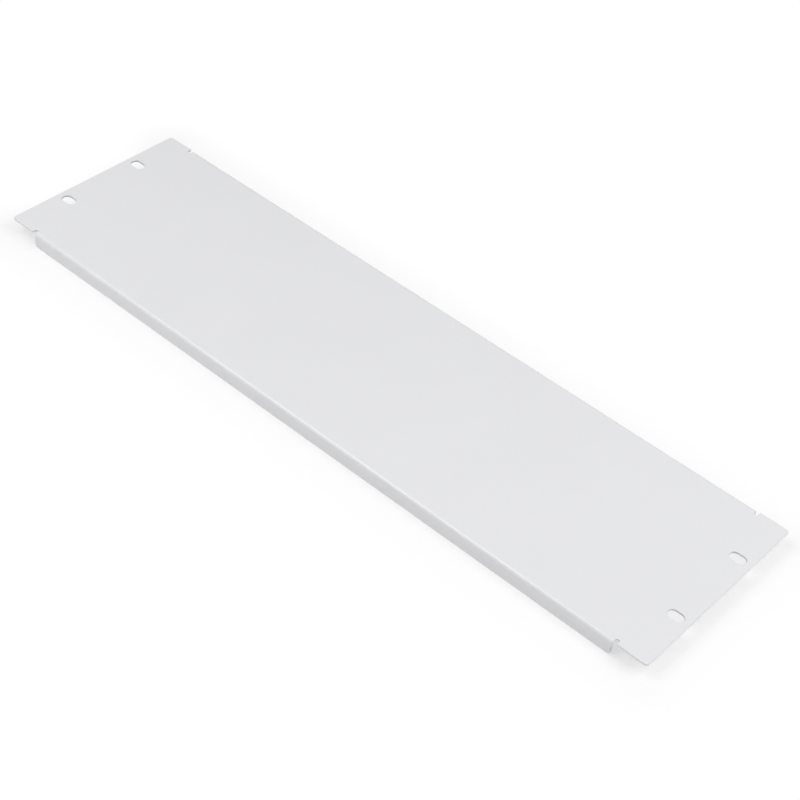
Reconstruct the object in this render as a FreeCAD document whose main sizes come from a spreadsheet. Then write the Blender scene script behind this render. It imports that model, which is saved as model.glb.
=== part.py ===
"""Rack blanking panel: one sheet of steel, sheared, slotted and folded back along both long edges.

Frame, in millimetres: X runs along the panel from ear to ear, Y up the rack and Z out of the front
face. The origin is the centre of the plane that the edges of the two flanges lie in, so the front
face is at z = panel_depth.
"""

import FreeCAD, Part
import math
import os

import Sketcher

NODE = "blanking_panel"

# The driving sizes. Width, height and slot places are those of a 19 inch panel, 3 units high.
SIZES = {
    "panel_width": 482.6,         # X, over both ears
    "panel_height": 132.5,        # Y, over both flanges
    "panel_depth": 10.0,          # Z, from the flange edges to the front face
    "sheet_thickness": 1.5,
    "bend_inside_radius": 1.0,
    "flange_corner_radius": 2.0,
    "ear_width": 21.3,            # X, from the end of a flange to the end of the ear beyond it
    "ear_setback": 0.5,           # Y, from the outer face of a flange in to the edge of an ear
    "ear_corner_radius": 2.0,
    "relief_width": 2.5,          # X, of the notch between an ear and the end of a bend
    "slot_length": 10.0,          # X, end to end
    "slot_width": 6.5,            # Y
    "slot_inset": 8.75,           # X, from the end of an ear in to the centre of its slots
    "slot_pitch_up": 57.15,       # Y, between the two slots of an ear
    "edge_break": 0.2,            # chamfer that deburring leaves along every sheared edge
}

# Sizes that follow from the driving ones, as expressions over the sheet.
HALF_HEIGHT = "Sizes.panel_height / 2"
BEND_OUTSIDE_RADIUS = "Sizes.bend_inside_radius + Sizes.sheet_thickness"
BEND_START = f"{HALF_HEIGHT} - ({BEND_OUTSIDE_RADIUS})"
BEND_CENTRE_HEIGHT = f"Sizes.panel_depth - ({BEND_OUTSIDE_RADIUS})"
FLANGE_INNER_FACE = f"{HALF_HEIGHT} - Sizes.sheet_thickness"
REAR_FACE_HEIGHT = "Sizes.panel_depth - Sizes.sheet_thickness"
EAR_END = "Sizes.panel_width / 2"
FLANGE_END = f"{EAR_END} - Sizes.ear_width"
FLANGE_LENGTH = "Sizes.panel_width - 2 * Sizes.ear_width"
EAR_EDGE = f"{HALF_HEIGHT} - Sizes.ear_setback"
RELIEF_RADIUS = "Sizes.relief_width / 2"
SLOT_RADIUS = "Sizes.slot_width / 2"
SLOT_CENTRE = f"{EAR_END} - Sizes.slot_inset"
SLOT_HALF_STRAIGHT = "(Sizes.slot_length - Sizes.slot_width) / 2"

# Point numbers on a sketch's lines and arcs, and the numbers of the sketch's own axes.
START, END, CENTRE = range(1, 4)
H_AXIS, V_AXIS = -1, -2
ORIGIN = (H_AXIS, START)

# Where two faces meet at more than this angle, the sheet was sheared.
SHEARED_ANGLE = math.radians(45)
TOLERANCE = 1e-4


def make_sizes(doc):
    """The sheet of driving sizes: a name, a plain number and an alias in each row."""
    sheet = doc.addObject("Spreadsheet::Sheet", "Sizes")
    for row, (name, number) in enumerate(SIZES.items(), start=1):
        sheet.set(f"A{row}", name)
        sheet.set(f"B{row}", str(number))
        sheet.setAlias(f"B{row}", name)
    doc.recompute()


def origin_plane(body, role):
    return next(plane for plane in body.Origin.OriginFeatures if plane.Role == role)


class Drawing:
    """A sketch parallel to one of the body's origin planes, whose sizes follow expressions."""

    def __init__(self, body, name, role, height="0"):
        self.sketch = body.newObject("Sketcher::SketchObject", name)
        self.sketch.AttachmentSupport = [(origin_plane(body, role), "")]
        self.sketch.MapMode = "FlatFace"
        self.sketch.setExpression("AttachmentOffset.Base.z", height)

    def value(self, expression):
        return float(self.sketch.evalExpression(expression))

    def point(self, across, up):
        return FreeCAD.Vector(self.value(across), self.value(up), 0)

    def line(self, start, end):
        return self.sketch.addGeometry(Part.LineSegment(self.point(*start), self.point(*end)))

    def arc(self, centre, radius, first_degrees, last_degrees):
        circle = Part.Circle(self.point(*centre), FreeCAD.Vector(0, 0, 1), self.value(radius))
        first, last = math.radians(first_degrees), math.radians(last_degrees)
        return self.sketch.addGeometry(Part.ArcOfCircle(circle, first, last))

    def hold(self, kind, *where):
        self.sketch.addConstraint(Sketcher.Constraint(kind, *where))

    def size(self, name, kind, *where, follows):
        """A named dimension, kept equal to an expression."""
        index = self.sketch.addConstraint(Sketcher.Constraint(kind, *where, self.value(follows)))
        self.sketch.renameConstraint(index, name)
        self.sketch.setExpression(f"Constraints.{name}", follows)

    def place(self, name, point, across=None, up=None):
        """Sets how far a point lies from the sketch's origin, across it, up it or both."""
        if across:
            self.size(f"{name}_across", "DistanceX", *ORIGIN, *point, follows=across)
        if up:
            self.size(f"{name}_up", "DistanceY", *ORIGIN, *point, follows=up)


def draw_half_section(body):
    """The upper half of the folded section: web, bend and flange, one sheet thick."""
    draw = Drawing(body, "half_section", "YZ_Plane")
    bend_centre = (BEND_START, BEND_CENTRE_HEIGHT)
    front = draw.line(("0", "Sizes.panel_depth"), (BEND_START, "Sizes.panel_depth"))
    bend_outside = draw.arc(bend_centre, BEND_OUTSIDE_RADIUS, 0, 90)
    flange_outside = draw.line((HALF_HEIGHT, BEND_CENTRE_HEIGHT), (HALF_HEIGHT, "0"))
    flange_edge = draw.line((HALF_HEIGHT, "0"), (FLANGE_INNER_FACE, "0"))
    flange_inside = draw.line((FLANGE_INNER_FACE, "0"), (FLANGE_INNER_FACE, BEND_CENTRE_HEIGHT))
    bend_inside = draw.arc(bend_centre, "Sizes.bend_inside_radius", 0, 90)
    rear = draw.line((BEND_START, REAR_FACE_HEIGHT), ("0", REAR_FACE_HEIGHT))
    middle = draw.line(("0", REAR_FACE_HEIGHT), ("0", "Sizes.panel_depth"))

    draw.hold("Tangent", front, END, bend_outside, END)
    draw.hold("Tangent", bend_outside, START, flange_outside, START)
    draw.hold("Coincident", flange_outside, END, flange_edge, START)
    draw.hold("Coincident", flange_edge, END, flange_inside, START)
    draw.hold("Tangent", flange_inside, END, bend_inside, START)
    draw.hold("Tangent", bend_inside, END, rear, START)
    draw.hold("Coincident", rear, END, middle, START)
    draw.hold("Coincident", middle, END, front, START)
    draw.hold("Coincident", bend_outside, CENTRE, bend_inside, CENTRE)
    for level in (front, flange_edge, rear):
        draw.hold("Horizontal", level)
    for upright in (flange_outside, flange_inside):
        draw.hold("Vertical", upright)
    draw.hold("PointOnObject", middle, START, V_AXIS)
    draw.hold("PointOnObject", middle, END, V_AXIS)
    draw.hold("PointOnObject", flange_edge, START, H_AXIS)
    draw.place("front", (front, START), up="Sizes.panel_depth")
    draw.place("flange", (flange_edge, START), across=HALF_HEIGHT)
    draw.size("thickness", "DistanceX", flange_edge, END, flange_edge, START,
              follows="Sizes.sheet_thickness")
    draw.size("bend_radius", "Radius", bend_inside, follows="Sizes.bend_inside_radius")
    return draw.sketch


def draw_ear(body):
    """The flat ear beyond the flanges, a little less high than the folded section."""
    draw = Drawing(body, "ear_outline", "XY_Plane", "Sizes.panel_depth")
    corners = [(FLANGE_END, f"-({EAR_EDGE})"), (EAR_END, f"-({EAR_EDGE})"),
               (EAR_END, EAR_EDGE), (FLANGE_END, EAR_EDGE)]
    lower, outer, upper, inner = (
        draw.line(corners[i], corners[(i + 1) % len(corners)]) for i in range(len(corners)))
    for side, following in ((lower, outer), (outer, upper), (upper, inner), (inner, lower)):
        draw.hold("Coincident", side, END, following, START)
    for level in (lower, upper):
        draw.hold("Horizontal", level)
    for upright in (outer, inner):
        draw.hold("Vertical", upright)
    draw.place("inner_end", (upper, END), across=FLANGE_END, up=EAR_EDGE)
    draw.place("outer_end", (upper, START), across=EAR_END)
    draw.size("ear_height", "DistanceY", inner, END, inner, START, follows=f"2 * ({EAR_EDGE})")
    return draw.sketch


def draw_relief(body):
    """The notch at the end of a bend: straight as far as the bend goes, then a round end."""
    draw = Drawing(body, "relief_outline", "XY_Plane", "Sizes.panel_depth")
    far_side = f"{FLANGE_END} + Sizes.relief_width"
    near_wall = draw.line((FLANGE_END, HALF_HEIGHT), (FLANGE_END, BEND_START))
    round_end = draw.arc((f"{FLANGE_END} + {RELIEF_RADIUS}", BEND_START), RELIEF_RADIUS, 180, 360)
    far_wall = draw.line((far_side, BEND_START), (far_side, HALF_HEIGHT))
    mouth = draw.line((far_side, HALF_HEIGHT), (FLANGE_END, HALF_HEIGHT))
    draw.hold("Tangent", near_wall, END, round_end, START)
    draw.hold("Tangent", round_end, END, far_wall, START)
    draw.hold("Coincident", far_wall, END, mouth, START)
    draw.hold("Coincident", mouth, END, near_wall, START)
    draw.hold("Vertical", near_wall)
    draw.hold("Vertical", far_wall)
    draw.hold("Horizontal", mouth)
    draw.place("mouth", (mouth, END), across=FLANGE_END, up=HALF_HEIGHT)
    draw.place("round_end", (round_end, CENTRE), up=BEND_START)
    draw.size("radius", "Radius", round_end, follows=RELIEF_RADIUS)
    return draw.sketch


def draw_slot(body):
    """A mounting slot, long in X, so that the panel fits rails a little out of place."""
    draw = Drawing(body, "slot_outline", "XY_Plane", "Sizes.panel_depth")
    inner_centre = f"{SLOT_CENTRE} - {SLOT_HALF_STRAIGHT}"
    outer_centre = f"{SLOT_CENTRE} + {SLOT_HALF_STRAIGHT}"
    level = "Sizes.slot_pitch_up / 2"
    lower, upper = f"{level} - {SLOT_RADIUS}", f"{level} + {SLOT_RADIUS}"
    inner_end = draw.arc((inner_centre, level), SLOT_RADIUS, 90, 270)
    lower_side = draw.line((inner_centre, lower), (outer_centre, lower))
    outer_end = draw.arc((outer_centre, level), SLOT_RADIUS, -90, 90)
    upper_side = draw.line((outer_centre, upper), (inner_centre, upper))
    draw.hold("Tangent", inner_end, END, lower_side, START)
    draw.hold("Tangent", lower_side, END, outer_end, START)
    draw.hold("Tangent", outer_end, END, upper_side, START)
    draw.hold("Tangent", upper_side, END, inner_end, START)
    draw.hold("Horizontal", lower_side)
    draw.hold("Horizontal", upper_side)
    draw.place("inner_centre", (inner_end, CENTRE), across=inner_centre, up=level)
    draw.place("outer_centre", (outer_end, CENTRE), across=outer_centre)
    draw.size("radius", "Radius", outer_end, follows=SLOT_RADIUS)
    return draw.sketch


def pad(body, name, sketch, length, side="One side", reverse=False):
    feature = body.newObject("PartDesign::Pad", name)
    feature.Profile = sketch
    feature.SideType = side
    feature.Reversed = reverse
    feature.setExpression("Length", length)
    return feature


def pocket_through(body, name, sketch):
    """Cuts the outline away through everything behind the front face."""
    feature = body.newObject("PartDesign::Pocket", name)
    feature.Profile = sketch
    feature.Type = "ThroughAll"
    feature.Reversed = False
    return feature


def mirror(body, name, feature, role):
    copy = body.newObject("PartDesign::Mirrored", name)
    copy.Originals = [feature]
    copy.MirrorPlane = (origin_plane(body, role), [""])
    body.Tip = copy


def mirror_to_four(doc, body, name, feature):
    """Repeats a feature in all four quarters of the panel."""
    pattern = body.newObject("PartDesign::MultiTransform", name)
    pattern.Originals = [feature]
    steps = []
    for role in ("YZ_Plane", "XZ_Plane"):
        step = doc.addObject("PartDesign::Mirrored", f"{name}_in_{role}")
        body.addObject(step)
        step.MirrorPlane = (origin_plane(body, role), [""])
        steps.append(step)
    pattern.Transformations = steps
    body.Tip = pattern


def pick_edges(doc, body, wanted):
    """The body's tip, with the name of each edge that wanted(shape, edge) is true of."""
    doc.recompute()
    tip = body.Tip
    names = [f"Edge{number}" for number, edge in enumerate(tip.Shape.Edges, start=1)
             if wanted(tip.Shape, edge)]
    return tip, names


def fillet(doc, body, name, radius, wanted):
    base = pick_edges(doc, body, wanted)
    feature = body.newObject("PartDesign::Fillet", name)
    feature.Base = base
    feature.setExpression("Radius", radius)


def chamfer(doc, body, name, width, wanted):
    base = pick_edges(doc, body, wanted)
    feature = body.newObject("PartDesign::Chamfer", name)
    feature.Base = base
    feature.setExpression("Size", width)


def is_ear_corner(shape, edge):
    """An edge along Z at the panel's full width."""
    box, limits = edge.BoundBox, shape.BoundBox
    across_sheet = box.XLength < TOLERANCE and box.YLength < TOLERANCE
    return across_sheet and abs(abs(box.XMax) - limits.XMax) < TOLERANCE


def is_flange_corner(shape, edge):
    """An edge along Y at the foot of a flange's end."""
    box, limits = edge.BoundBox, shape.BoundBox
    across_sheet = box.XLength < TOLERANCE and box.ZLength < TOLERANCE
    return across_sheet and box.ZMax - limits.ZMin < TOLERANCE


def is_sheared(shape, edge):
    """An edge where two faces meet sharply, so not the side of a bend or of a fillet."""
    middle = edge.valueAt((edge.FirstParameter + edge.LastParameter) / 2)
    first, second = (face.normalAt(*face.Surface.parameter(middle))
                     for face in shape.ancestorsOfType(edge, Part.Face))
    return first.getAngle(second) > SHEARED_ANGLE


def make_panel(doc):
    body = doc.addObject("PartDesign::Body", NODE)
    body.Label = NODE
    fold = pad(body, "folded_half", draw_half_section(body), FLANGE_LENGTH, "Symmetric")
    mirror(body, "folded_section", fold, "XZ_Plane")
    ear = pad(body, "ear", draw_ear(body), "Sizes.sheet_thickness", reverse=True)
    mirror(body, "ears", ear, "YZ_Plane")
    relief = pocket_through(body, "relief", draw_relief(body))
    mirror_to_four(doc, body, "reliefs", relief)
    slot = pocket_through(body, "slot", draw_slot(body))
    mirror_to_four(doc, body, "slots", slot)
    fillet(doc, body, "ear_corners", "Sizes.ear_corner_radius", is_ear_corner)
    fillet(doc, body, "flange_corners", "Sizes.flange_corner_radius", is_flange_corner)
    chamfer(doc, body, "broken_edges", "Sizes.edge_break", is_sheared)
    doc.recompute()
    return body


def check(doc, bodies):
    """Stops before anything is written if an object failed, did nothing or isn't sound."""
    for item in doc.Objects:
        if {"Invalid", "Error"} & set(item.State):
            raise RuntimeError(f"{item.Name} failed: {item.State}")
        base = getattr(item, "BaseFeature", None)
        if base and abs(item.Shape.Volume - base.Shape.Volume) < TOLERANCE:
            raise RuntimeError(f"{item.Name} adds and removes nothing")
    for body in bodies:
        if body.Shape.isNull() or not body.Shape.isValid():
            raise RuntimeError(f"{body.Label} has no sound shape")


def main():
    doc = FreeCAD.newDocument("RackBlankingPanel")
    make_sizes(doc)
    bodies = [make_panel(doc)]
    check(doc, bodies)
    os.makedirs("parts", exist_ok=True)
    for body in bodies:
        body.Shape.exportStep(f"parts/{body.Label}.step")
        print(f"{body.Label}: {body.Shape.Volume:.1f} mm3, {len(body.Shape.Faces)} faces")


main()
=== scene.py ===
"""The looks of a rack blanking panel: light grey powder coat on a folded steel sheet, on white.

Everything is in metres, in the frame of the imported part: X along the panel, Y up the rack and Z out
of the front face. The panel lies face up on its flange edges, so the floor is at z = 0.
"""

import math

import bpy
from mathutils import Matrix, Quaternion, Vector


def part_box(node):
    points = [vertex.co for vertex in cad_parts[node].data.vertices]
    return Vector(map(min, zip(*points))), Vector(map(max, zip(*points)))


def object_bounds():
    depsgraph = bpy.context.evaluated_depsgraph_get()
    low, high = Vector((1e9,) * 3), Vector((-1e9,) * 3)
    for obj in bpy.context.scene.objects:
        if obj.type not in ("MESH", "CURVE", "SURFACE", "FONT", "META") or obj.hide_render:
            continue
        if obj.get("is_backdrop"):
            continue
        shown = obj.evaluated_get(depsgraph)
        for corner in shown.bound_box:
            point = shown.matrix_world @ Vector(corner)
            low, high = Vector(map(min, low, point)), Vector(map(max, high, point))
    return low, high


PANEL = "blanking_panel"

# Camera: where it stands round the panel, and how far its aim lies from the middle of the front face.
CAMERA_AZIMUTH = math.radians(36.75)
CAMERA_ELEVATION = math.radians(42.46)
CAMERA_ROLL = math.radians(7.33)
CAMERA_DISTANCE = 1.0024
CAMERA_AIM_ACROSS = 0.0300
CAMERA_AIM_UP = -0.0125
LENS_MM = 80.24
SENSOR_MM = 36.0

# Powder coat: two close tones, its lowest and highest roughness, and the texture of its surface.
COAT_LIGHT = (0.800, 0.802, 0.820)
COAT_DARK = (0.775, 0.777, 0.795)
COAT_ROUGHNESS = (0.27, 0.33)
CLOUD_SIZE = 0.045
CLOUD_DETAIL = 3.0
ORANGE_PEEL_SIZE = 0.0018
ORANGE_PEEL_DEPTH = 0.00011
GRAIN_SIZE = 0.0004
GRAIN_DEPTH = 0.000025
FINE_DETAIL = 2.0

# Studio. A white share is the part of the floor's look that is plain white; lit paper is the rest.
# Where the share changes with place near the panel, it is painted light over the panel's shade.
WHITE = (1.0, 1.0, 1.0, 1.0)
WORLD_LEVEL = 0.25
FLOOR_SIZE = 12.0
FLOOR_COLOUR = (0.90, 0.90, 0.90, 1.0)
FLOOR_WHITE_LEVEL = 1.02
EDGE_WHITE_SHARE = 0.54  # along the long edges, and off the right end
# The higher share between the long edges is painted light: it lifts the shade under the panel and off
# its left end, which the lamps leave darker.
INNER_PAINTED_LIGHT_SHARE = 0.80  # between the long edges
INNER_FADE = 0.03  # inwards from a long edge, from the first share to the second
INNER_END_FADE = 0.012  # the same, inwards from the right end
FLOOR_FADE = 0.04  # outwards from the panel, to plain white

# Softboxes: name, place, the point each faces, width, height and watts.
SOFTBOXES = (
    ("key", (-0.50, -0.50, 1.03), (-0.50, -0.07, 0.0), 0.8, 0.9, 7.6),
    ("right", (0.70, 0.25, 0.85), (0.05, 0.0, 0.0), 0.8, 0.8, 6.15),
    ("front", (0.55, -0.85, 0.80), (0.0, -0.06, 0.0), 0.9, 0.6, 1.55),
)


class Nodes:
    """A node tree under construction."""

    def __init__(self, tree):
        self.tree = tree
        tree.nodes.clear()

    def add(self, kind, **settings):
        node = self.tree.nodes.new(kind)
        for name, value in settings.items():
            setattr(node, name, value)
        return node

    def feed(self, source, socket):
        """Link an input to another node's output, or set it to a plain value."""
        if isinstance(source, bpy.types.NodeSocket):
            self.tree.links.new(source, socket)
        else:
            socket.default_value = source

    def math(self, operation, *operands):
        node = self.add("ShaderNodeMath", operation=operation)
        for operand, socket in zip(operands, node.inputs):
            self.feed(operand, socket)
        return node.outputs["Value"]

    def vector_math(self, operation, *operands):
        node = self.add("ShaderNodeVectorMath", operation=operation)
        for operand, socket in zip(operands, node.inputs):
            self.feed(operand, socket)
        return node.outputs["Value" if operation == "LENGTH" else "Vector"]

    def axis(self, vector, name):
        node = self.add("ShaderNodeSeparateXYZ")
        self.feed(vector, node.inputs["Vector"])
        return node.outputs[name]

    def remap(self, value, source=(0.0, 1.0), target=(0.0, 1.0), smooth=False):
        """Carry a value from one range to another, held at both ends."""
        node = self.add("ShaderNodeMapRange", interpolation_type="SMOOTHSTEP" if smooth else "LINEAR")
        for name, bound in zip(("From Min", "From Max", "To Min", "To Max"), (*source, *target)):
            self.feed(bound, node.inputs[name])
        self.feed(value, node.inputs["Value"])
        return node.outputs["Result"]

    def noise(self, size, detail):
        """Noise that is fixed to the object, its features about this size."""
        place = self.add("ShaderNodeTexCoord")
        node = self.add("ShaderNodeTexNoise")
        self.feed(place.outputs["Object"], node.inputs["Vector"])
        self.feed(1.0 / size, node.inputs["Scale"])
        self.feed(detail, node.inputs["Detail"])
        return node.outputs["Fac"]

    def bump(self, height, depth, below=None):
        node = self.add("ShaderNodeBump")
        self.feed(1.0, node.inputs["Strength"])
        self.feed(depth, node.inputs["Distance"])
        self.feed(height, node.inputs["Height"])
        if below:
            self.feed(below, node.inputs["Normal"])
        return node.outputs["Normal"]


def new_material(name):
    material = bpy.data.materials.new(name)
    material.use_nodes = True
    return material, Nodes(material.node_tree)


def powder_coat():
    """Satin powder coat: nearly even colour, soft clouds of gloss, orange peel and fine grain."""
    material, nodes = new_material("powder_coat_satin")
    shader = nodes.add("ShaderNodeBsdfPrincipled")
    output = nodes.add("ShaderNodeOutputMaterial")
    nodes.feed(shader.outputs["BSDF"], output.inputs["Surface"])

    clouds = nodes.noise(CLOUD_SIZE, CLOUD_DETAIL)
    colour = nodes.add("ShaderNodeMix", data_type="RGBA")
    nodes.feed((*COAT_DARK, 1.0), colour.inputs["A"])
    nodes.feed((*COAT_LIGHT, 1.0), colour.inputs["B"])
    nodes.feed(clouds, colour.inputs["Factor"])
    nodes.feed(colour.outputs["Result"], shader.inputs["Base Color"])
    nodes.feed(nodes.remap(clouds, target=COAT_ROUGHNESS), shader.inputs["Roughness"])

    peeled = nodes.bump(nodes.noise(ORANGE_PEEL_SIZE, FINE_DETAIL), ORANGE_PEEL_DEPTH)
    grained = nodes.bump(nodes.noise(GRAIN_SIZE, FINE_DETAIL), GRAIN_DEPTH, peeled)
    nodes.feed(grained, shader.inputs["Normal"])
    return material


def seen_directly(nodes):
    """1 for the camera's own rays and for mirrored or transmitted ones, 0 for rays that carry light."""
    rays = nodes.add("ShaderNodeLightPath").outputs
    either = nodes.math("MAXIMUM", rays["Is Camera Ray"], rays["Is Glossy Ray"])
    return nodes.math("MAXIMUM", either, rays["Is Transmission Ray"])


def white_share(nodes, half_width, half_height):
    """The floor's white share: least where the panel's shadow is kept, and all of it off the panel.
    Between the long edges it is higher, which is painted light that lifts the shade under the panel and
    off its left end.

    The widths are halves of the panel's own rectangle, whose middle is the floor's middle.
    """
    place = nodes.add("ShaderNodeTexCoord").outputs["Object"]
    mirrored = nodes.vector_math("ABSOLUTE", place)
    past_edges = nodes.vector_math("SUBTRACT", mirrored, (half_width, half_height, 0.0))
    outside = nodes.vector_math("MAXIMUM", past_edges, (0.0, 0.0, 0.0))
    distance = nodes.vector_math("LENGTH", outside)

    by_long_edge = nodes.remap(nodes.axis(past_edges, "Y"), (-INNER_FADE, 0.0), smooth=True)
    end_range = (half_width - INNER_END_FADE, half_width)
    by_right_end = nodes.remap(nodes.axis(place, "X"), end_range, smooth=True)
    kept = nodes.math("MAXIMUM", by_long_edge, by_right_end)
    # Painted light: the inner share lifts the floor's shade under the panel above what the lamps give.
    by_panel = nodes.remap(kept, target=(INNER_PAINTED_LIGHT_SHARE, EDGE_WHITE_SHARE))
    return nodes.remap(distance, (0.0, FLOOR_FADE), (by_panel, 1.0))


def white_floor(half_width, half_height):
    """Paper that carries light as it is, and shows itself to the eye mixed with plain white. The mix
    changes with place, so it paints light over part of the panel's shade.
    """
    material, nodes = new_material("white_paper")
    paper = nodes.add("ShaderNodeBsdfDiffuse")
    nodes.feed(FLOOR_COLOUR, paper.inputs["Color"])
    white = nodes.add("ShaderNodeEmission")
    nodes.feed(WHITE, white.inputs["Color"])
    nodes.feed(FLOOR_WHITE_LEVEL, white.inputs["Strength"])

    share = white_share(nodes, half_width, half_height)
    mix = nodes.add("ShaderNodeMixShader")
    nodes.feed(nodes.math("MULTIPLY", seen_directly(nodes), share), mix.inputs["Fac"])
    nodes.feed(paper.outputs["BSDF"], mix.inputs[1])
    nodes.feed(white.outputs["Emission"], mix.inputs[2])
    output = nodes.add("ShaderNodeOutputMaterial")
    nodes.feed(mix.outputs["Shader"], output.inputs["Surface"])
    return material


def add_floor(material):
    half = FLOOR_SIZE / 2
    mesh = bpy.data.meshes.new("floor")
    corners = [(-half, -half, 0), (half, -half, 0), (half, half, 0), (-half, half, 0)]
    mesh.from_pydata(corners, [], [(0, 1, 2, 3)])
    mesh.materials.append(material)
    floor = bpy.data.objects.new("floor", mesh)
    bpy.context.scene.collection.objects.link(floor)
    floor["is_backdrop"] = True


def add_world():
    """Even light from all round, which the eye sees as plain white."""
    world = bpy.data.worlds.new("studio")
    world.use_nodes = True
    nodes = Nodes(world.node_tree)
    background = nodes.add("ShaderNodeBackground")
    nodes.feed(WHITE, background.inputs["Color"])
    level = nodes.remap(seen_directly(nodes), target=(WORLD_LEVEL, 1.0))
    nodes.feed(level, background.inputs["Strength"])
    output = nodes.add("ShaderNodeOutputWorld")
    nodes.feed(background.outputs["Background"], output.inputs["Surface"])
    bpy.context.scene.world = world


def add_softbox(name, place, aim, width, height, watts):
    lamp = bpy.data.lights.new(name, "AREA")
    lamp.shape = "RECTANGLE"
    lamp.size = width
    lamp.size_y = height
    lamp.energy = watts
    softbox = bpy.data.objects.new(name, lamp)
    softbox.location = place
    softbox.rotation_mode = "QUATERNION"
    softbox.rotation_quaternion = (Vector(aim) - Vector(place)).to_track_quat("-Z", "Y")
    bpy.context.scene.collection.objects.link(softbox)


def add_camera(front_centre):
    data = bpy.data.cameras.new("camera")
    data.lens = LENS_MM
    data.sensor_width = SENSOR_MM
    camera = bpy.data.objects.new("camera", data)
    level = math.cos(CAMERA_ELEVATION)
    back = Vector((math.sin(CAMERA_AZIMUTH) * level, -math.cos(CAMERA_AZIMUTH) * level,
                   math.sin(CAMERA_ELEVATION)))
    aim = front_centre + Vector((CAMERA_AIM_ACROSS, CAMERA_AIM_UP, 0))
    camera.location = aim + back * CAMERA_DISTANCE
    camera.rotation_mode = "QUATERNION"
    upright = (-back).to_track_quat("-Z", "Y")
    camera.rotation_quaternion = upright @ Quaternion((0, 0, 1), CAMERA_ROLL)
    bpy.context.scene.collection.objects.link(camera)
    bpy.context.scene.camera = camera


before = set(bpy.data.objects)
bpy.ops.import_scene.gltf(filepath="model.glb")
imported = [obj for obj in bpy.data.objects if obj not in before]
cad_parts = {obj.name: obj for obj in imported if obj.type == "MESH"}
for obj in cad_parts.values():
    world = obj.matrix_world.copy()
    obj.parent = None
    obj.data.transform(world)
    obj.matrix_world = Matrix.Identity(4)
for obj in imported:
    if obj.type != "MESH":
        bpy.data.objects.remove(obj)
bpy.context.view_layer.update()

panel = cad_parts[PANEL]
panel.data.materials.clear()
panel.data.materials.append(powder_coat())

low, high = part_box(PANEL)
add_floor(white_floor(high.x, high.y))
add_world()
for softbox in SOFTBOXES:
    add_softbox(*softbox)
add_camera(Vector(((low.x + high.x) / 2, (low.y + high.y) / 2, high.z)))
bpy.context.scene.view_settings.view_transform = "Standard"

low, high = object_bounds()
